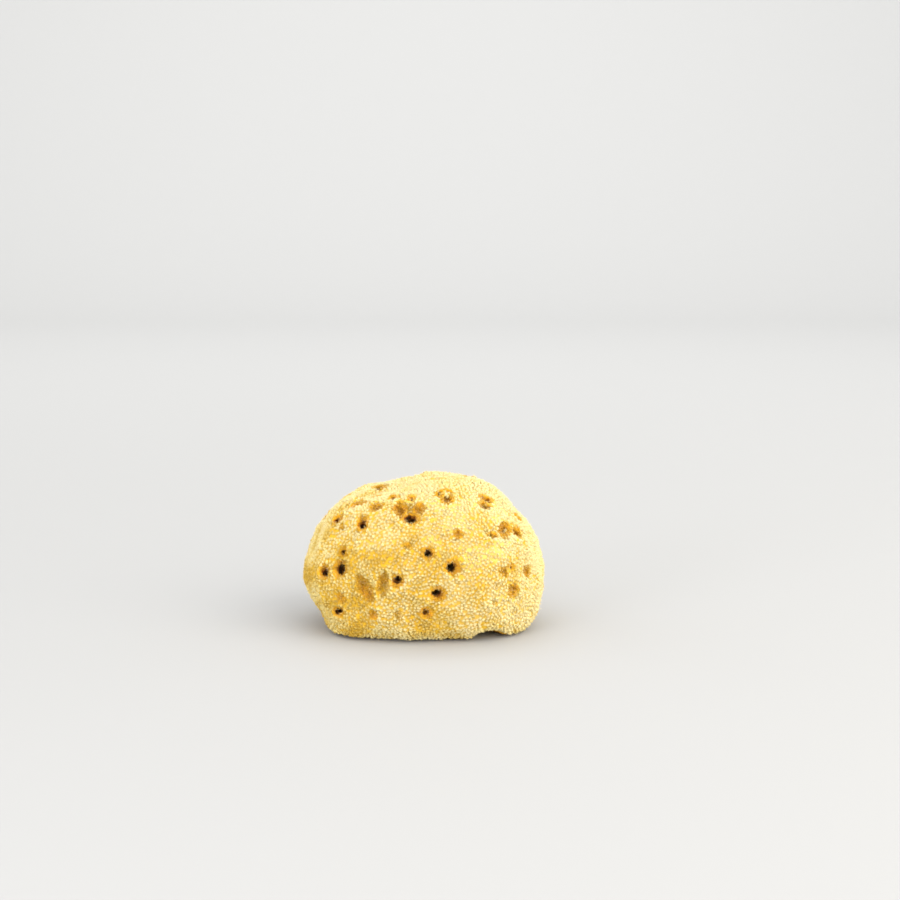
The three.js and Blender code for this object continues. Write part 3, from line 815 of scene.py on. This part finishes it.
def spongin_material(colours):
    """Spongin is the horny protein of a sponge's skeleton. Bleached and dried, it is matt and cream
    at the worn tips. Sheltered points turn golden, and the depth of the canals brown to near black, which is
    partly its own darker colour and partly painted shade."""
    material = bpy.data.materials.new("bleached spongin")
    material.use_nodes = True
    tree = material.node_tree
    tree.nodes.clear()
    place = add_node(tree, "ShaderNodeTexCoord").outputs["Object"]
    open_share, along, tint = (
        add_node(tree, "ShaderNodeAttribute", {"attribute_name": name}).outputs["Fac"]
        for name in ("open", "along", "tint")
    )

    # How deep a point lies moves with a fine noise, so that no colour ends in a clean line
    grain = uneven(tree, GRAIN, 3, -GRAIN_SHIFT, GRAIN_SHIFT, place)
    depth = add_node(tree, "ShaderNodeMath", ADD, {0: open_share, 1: grain})

    # The tips of the mouth fibres reach out of the canals, so less painted shade lies on them
    clear = add_node(
        tree,
        "ShaderNodeMapRange",
        inputs={"Value": along, "From Min": 1, "From Max": MOUTH_ALONG, "To Max": MOUTH_TIP},
    )
    depth = add_node(tree, "ShaderNodeMath", ADD, {0: depth.outputs[0], 1: clear.outputs[0]})

    # Painted shadow: the ground turns dark brown where it meets the floor, but not the tufts over it
    up = add_node(tree, "ShaderNodeSeparateXYZ", inputs={0: place})
    foot = add_node(
        tree,
        "ShaderNodeMapRange",
        inputs={"Value": up.outputs["Z"], "From Min": FOOT_SHADOW[0], "From Max": FOOT_SHADOW[1], "To Min": FOOT_SHADOW_OPEN},
    )
    unshadowed = add_node(tree, "ShaderNodeMath", MAXIMUM, {0: foot.outputs[0], 1: along})
    depth = add_node(tree, "ShaderNodeMath", MULTIPLY, {0: depth.outputs[0], 1: unshadowed.outputs[0]})
    ground = add_node(tree, "ShaderNodeValToRGB", inputs={"Fac": depth.outputs[0]})
    stops = [  # openness and the colour that it gives; the darker colours deeper in are partly painted shade
        (0.03, colours.depth),
        (0.11, colours.throat),
        (0.24, colours.mouth),
        (0.6, colours.valley),
    ]
    ramp = ground.color_ramp
    while len(ramp.elements) < len(stops):
        ramp.elements.new(1)
    for element, (at, shade) in zip(ramp.elements, stops):
        element.position = at
        element.color = (*shade, 1)

    # Tufts pale towards their tips, some more than others
    paling = add_node(
        tree, "ShaderNodeMapRange", inputs={"Value": tint, "To Min": TINT[0], "To Max": TINT[1]}
    )
    pale = add_node(tree, "ShaderNodeMath", MULTIPLY, {0: along, 1: paling.outputs[0]})

    # Some patches are bleached paler, and the side towards the light is painted paler as painted light; the
    # ground pales there as well
    patch = add_node(
        tree, "ShaderNodeTexNoise", inputs={"Vector": place, "Scale": 1 / PATCH, "Detail": 3}
    )
    lit = add_node(tree, "ShaderNodeVectorMath", DOT_PRODUCT, {0: place, 1: LIGHT_SIDE})
    worn, side_light = (
        add_node(
            tree,
            "ShaderNodeMapRange",
            inputs={"Value": value, "From Min": start, "From Max": end, "To Min": first, "To Max": last},
        )
        for value, (start, end), (first, last) in (
            (patch.outputs["Fac"], PATCH_EDGE, PATCH_WEAR),
            (lit.outputs["Value"], SIDE_LIGHT_REACH, SIDE_LIGHT_PALING),
        )
    )
    wear_and_light = add_node(tree, "ShaderNodeMath", MULTIPLY, {0: worn.outputs[0], 1: side_light.outputs[0]})
    pale = add_node(tree, "ShaderNodeMath", ADD, {0: pale.outputs[0], 1: GROUND_PALING})
    pale = add_node(
        tree, "ShaderNodeMath", MULTIPLY_ADD, {0: pale.outputs[0], 1: wear_and_light.outputs[0], 2: -UNSEEN_PALING}
    )
    pale = add_node(tree, "ShaderNodeMath", MAXIMUM, {0: pale.outputs[0], 1: 0.0})

    # Less of it shows where a point lies enclosed, so that tufts there keep the ground's golden and brown,
    # which is painted shade
    outside = add_node(
        tree,
        "ShaderNodeMapRange",
        SMOOTH,
        {
            "Value": depth.outputs[0],
            "From Min": OUTSIDE[0],
            "From Max": OUTSIDE[1],
            "To Min": INSIDE_PALING,
        },
    )
    pale = add_node(tree, "ShaderNodeMath", MULTIPLY, {0: pale.outputs[0], 1: outside.outputs[0]})
    shade = ground.outputs["Color"]
    for (start, end), paler in ((FLANK_PALING, colours.flank), (TIP_PALING, colours.tip)):
        share = add_node(
            tree,
            "ShaderNodeMapRange",
            inputs={"Value": pale.outputs[0], "From Min": start, "From Max": end},
        )
        shade = add_node(
            tree, "ShaderNodeMix", {"data_type": "RGBA"}, {0: share.outputs[0], 6: shade, 7: (*paler, 1)}
        ).outputs[2]

    # The skeleton is a net of fibres with pores between them. Both are too fine for the mesh, and
    # too fine to show at their real size, so they are drawn coarser
    cell = add_node(tree, "ShaderNodeTexVoronoi", inputs={"Vector": place, "Scale": 1 / PORE})
    net = add_node(
        tree,
        "ShaderNodeMapRange",
        inputs={"Value": cell.outputs["Distance"], "From Min": PORE_WALL[0], "From Max": PORE_WALL[1]},
    )
    pore = add_node(
        tree, "ShaderNodeMapRange", inputs={"Value": net.outputs[0], "To Min": PORE_SHADE, "To Max": 0}
    )
    # Painted shade: each pore is darkened towards the mouth's colour
    porous = add_node(
        tree,
        "ShaderNodeMix",
        {"data_type": "RGBA", "blend_type": "MULTIPLY"},
        {0: pore.outputs[0], 6: shade, 7: (*colours.mouth, 1)},
    )
    bump = add_node(
        tree,
        "ShaderNodeBump",
        inputs={"Height": net.outputs[0], "Strength": PORE_STRENGTH, "Distance": PORE_DEPTH},
    )
    surface = add_node(
        tree,
        "ShaderNodeBsdfPrincipled",
        inputs={
            "Base Color": porous.outputs[2],
            "Roughness": 0.95,
            "Diffuse Roughness": 0.5,
            "IOR": 1.54,
            "Specular IOR Level": 0.08,
            "Sheen Weight": 0.3,
            "Sheen Tint": (*colours.flank, 1),
            "Sheen Roughness": 0.5,
            "Normal": bump.outputs[0],
        },
    )
    add_node(tree, "ShaderNodeOutputMaterial", inputs={"Surface": surface.outputs[0]})
    return material


def stage_material(colours):
    """A painted studio sweep: matt, even and pale grey."""
    material = bpy.data.materials.new("painted sweep")
    material.use_nodes = True
    tree = material.node_tree
    tree.nodes.clear()
    surface = add_node(
        tree,
        "ShaderNodeBsdfPrincipled",
        inputs={"Base Color": (*colours.stage, 1), "Roughness": 0.7, "Specular IOR Level": 0.2},
    )
    add_node(tree, "ShaderNodeOutputMaterial", inputs={"Surface": surface.outputs[0]})
    return material


def sponge_material():
    """The sponge's one material, made the first time it is asked for."""
    colours = bpy.context.scene.sponge_colours
    return bpy.data.materials.get("bleached spongin") or spongin_material(colours)


WELD = 0.001 * MM  # corners of the solid's loose triangles this close together are one
TUFT_REACH = (IN_A_MOUTH, 2)  # openness of the ground that tufts grow on, up to its most open
TUFT_SIZE = (0.75, 1.05)  # smallest and largest tuft, where 1 is the height that is set
MOUTH_REACH = (IN_A_MOUTH, 0.5)  # openness of the ground that mouth fibres grow on
MOUTH_SIZE = (0.5, 1)
MOUTH_OUTWARDS = 1.2  # how far mouth fibres turn to point out of the sponge, where 1 is half way


class SPONGE_OT_body(bpy.types.Operator):
    """Make the ground that the tufts grow on"""

    bl_idname = "sponge.body"
    bl_label = "Sponge body"

    def execute(self, context):
        sizes = context.scene.sponge_sizes
        mesh = SOLID.data.copy()
        bm = bmesh.new()
        bm.from_mesh(mesh)
        bmesh.ops.remove_doubles(bm, verts=bm.verts, dist=WELD)
        bm.to_mesh(mesh)
        bm.free()
        mesh.materials.clear()
        piece = new_object("sponge_body", mesh)
        remesh = piece.modifiers.new("remesh", "REMESH")
        remesh.mode = "VOXEL"
        remesh.voxel_size = sizes.voxel
        remesh.use_smooth_shade = True
        ground = piece.modifiers.new("ground", "NODES")
        ground.node_group = ground_tree(sizes, sponge_material())
        apply_modifiers(piece)
        join_frame(piece)
        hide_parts("sponge")
        return {"FINISHED"}


class SPONGE_OT_tufts(bpy.types.Operator):
    """Grow tufts over the whole outer skin"""

    bl_idname = "sponge.tufts"
    bl_label = "Tufts"

    def execute(self, context):
        sizes = context.scene.sponge_sizes
        rng = random.Random(11)
        shelf = stock("tufts", [tuft_mesh(f"tuft {i}", sizes, rng) for i in range(sizes.kinds)])
        tree = scatter_tree(
            "tufts",
            bpy.data.objects["sponge_body"],
            shelf,
            sizes.tuft_spacing,
            density=LOOSE,
            reach=TUFT_REACH,
            outwards=0,
            scale=TUFT_SIZE,
            material=sponge_material(),
            seed=1,
        )
        for sector in range(sizes.sectors):
            scatter_piece(f"tufts_{sector + 1}", tree, sector, sizes.sectors)
        clear_stock(shelf)
        return {"FINISHED"}


class SPONGE_OT_mouth_fibres(bpy.types.Operator):
    """Grow loose fibres round the mouths of the canals"""

    bl_idname = "sponge.mouth_fibres"
    bl_label = "Mouth fibres"

    def execute(self, context):
        sizes = context.scene.sponge_sizes
        rng = random.Random(12)
        shelf = stock("fibres", [mouth_fibre_mesh(f"fibre {i}", sizes, rng) for i in range(sizes.kinds)])
        tree = scatter_tree(
            "mouth fibres",
            bpy.data.objects["sponge_body"],
            shelf,
            sizes.mouth_spacing,
            density=DENSE,
            reach=MOUTH_REACH,
            outwards=MOUTH_OUTWARDS,
            scale=MOUTH_SIZE,
            material=sponge_material(),
            seed=20,
        )
        scatter_piece("mouth_fibres", tree, 0, 1)
        clear_stock(shelf)
        return {"FINISHED"}


LIT = (0, 0, 35 * MM)  # what the key and the fill face
KEY = (1.8, (1.05, -0.95, 0.72), LIT, "#fffaf2")  # a light's size, place, target and colour
WASH = (2, (0, 1.2, 2.6), (0, 4, 0.8), "#ffffff")
FILL = (0.5, (-0.8, -1, 0.27), LIT, "#f4f6ff")
CAMERA_PLACE = (13.5 * MM, -877 * MM, 222.3 * MM)
CAMERA_PITCH = math.radians(8.4)  # how far it looks down
CAMERA_LENS = 67.9  # millimetres, on a sensor 36 wide
SWEEP_WIDTH = 8
SWEEP_FRONT = -5
SWEEP_BACK = 2.2  # where the floor starts to rise into the backdrop
SWEEP_CURVE = 1.6  # radius of that rise
SWEEP_STEPS = 24
SWEEP_TOP = 5


def sweep_mesh():
    """A floor that rises in a round curve into a backdrop."""
    bm = bmesh.new()
    ends = [bm.verts.new((x * SWEEP_WIDTH / 2, SWEEP_FRONT, 0)) for x in (-1, 1)]
    edge = bm.edges.new(ends)
    floor = bmesh.ops.extrude_edge_only(bm, edges=[edge])["geom"]
    far = [v for v in floor if isinstance(v, bmesh.types.BMVert)]
    bmesh.ops.translate(bm, verts=far, vec=(0, SWEEP_BACK - SWEEP_FRONT, 0))
    curve = bmesh.ops.spin(
        bm,
        geom=[g for g in floor if isinstance(g, (bmesh.types.BMVert, bmesh.types.BMEdge))],
        cent=(0, SWEEP_BACK, SWEEP_CURVE),
        axis=(1, 0, 0),
        angle=math.pi / 2,
        steps=SWEEP_STEPS,
    )["geom_last"]
    last = [g for g in curve if isinstance(g, bmesh.types.BMEdge)]
    wall = bmesh.ops.extrude_edge_only(bm, edges=last)["geom"]
    top = [v for v in wall if isinstance(v, bmesh.types.BMVert)]
    bmesh.ops.translate(bm, verts=top, vec=(0, 0, SWEEP_TOP - SWEEP_CURVE))
    bmesh.ops.remove_doubles(bm, verts=bm.verts, dist=MM)
    bmesh.ops.recalc_face_normals(bm, faces=bm.faces)
    for face in bm.faces:
        face.smooth = True
    return finished_mesh("sweep", bm)


def area_light(name, watts, size, place, target, shade):
    """A square soft light that faces a target."""
    data = bpy.data.lights.new(name, "AREA")
    data.energy = watts
    data.size = size
    data.color = linear(shade)
    lamp = bpy.data.objects.new(name, data)
    lamp.location = place
    lamp.rotation_euler = (Vector(target) - Vector(place)).to_track_quat("-Z", "Y").to_euler()
    bpy.context.scene.collection.objects.link(lamp)


class SPONGE_OT_stage(bpy.types.Operator):
    """Set up the sweep, the lights and the camera"""

    bl_idname = "sponge.stage"
    bl_label = "Stage"

    def execute(self, context):
        scene = context.scene
        light = scene.sponge_light
        sweep = new_object("sweep", sweep_mesh())
        sweep.data.materials.append(stage_material(scene.sponge_colours))
        area_light("key", light.key, *KEY)
        area_light("wash", light.wash, *WASH)
        area_light("fill", light.fill, *FILL)

        world = bpy.data.worlds.new("studio")
        world.use_nodes = True
        world.node_tree.nodes.clear()
        sky = add_node(
            world.node_tree, "ShaderNodeBackground", inputs={"Color": (1, 1, 1, 1), "Strength": light.sky}
        )
        add_node(world.node_tree, "ShaderNodeOutputWorld", inputs={"Surface": sky.outputs[0]})
        scene.world = world

        data = bpy.data.cameras.new("camera")
        data.lens = CAMERA_LENS
        camera = bpy.data.objects.new("camera", data)
        camera.location = CAMERA_PLACE
        camera.rotation_euler = (math.pi / 2 - CAMERA_PITCH, 0, 0)
        scene.collection.objects.link(camera)
        scene.camera = camera
        scene.view_settings.view_transform = "Standard"
        return {"FINISHED"}


class SPONGE_PT_sidebar(bpy.types.Panel):
    """Lists the sponge's settings and the steps that make it"""

    bl_idname = "SPONGE_PT_sidebar"
    bl_label = "Bath sponge"
    bl_space_type = "VIEW_3D"
    bl_region_type = "UI"
    bl_category = "Sponge"

    def draw(self, context):
        layout = self.layout
        for operator in OPERATORS:
            layout.operator(operator.bl_idname)
        for group in (context.scene.sponge_sizes, context.scene.sponge_colours, context.scene.sponge_light):
            box = layout.box()
            for name in group.__annotations__:
                box.prop(group, name)


OPERATORS = (SPONGE_OT_body, SPONGE_OT_tufts, SPONGE_OT_mouth_fibres, SPONGE_OT_stage)
GROUPS = {
    "sponge_sizes": SpongeSizes,
    "sponge_colours": SpongeColours,
    "sponge_light": SpongeLight,
}


def register():
    """Registers the classes and gives the scene its settings."""
    for cls in (*GROUPS.values(), *OPERATORS, SPONGE_PT_sidebar):
        bpy.utils.register_class(cls)
    for name, group in GROUPS.items():
        setattr(bpy.types.Scene, name, PointerProperty(type=group))


def unregister():
    """Takes back what register does."""
    for name in GROUPS:
        delattr(bpy.types.Scene, name)
    for cls in reversed((*GROUPS.values(), *OPERATORS, SPONGE_PT_sidebar)):
        bpy.utils.unregister_class(cls)


def main():
    """Makes the sponge and its stage."""
    register()
    bpy.ops.sponge.body()
    bpy.ops.sponge.tufts()
    bpy.ops.sponge.mouth_fibres()
    bpy.ops.sponge.stage()


if __name__ == "__main__":
    main()
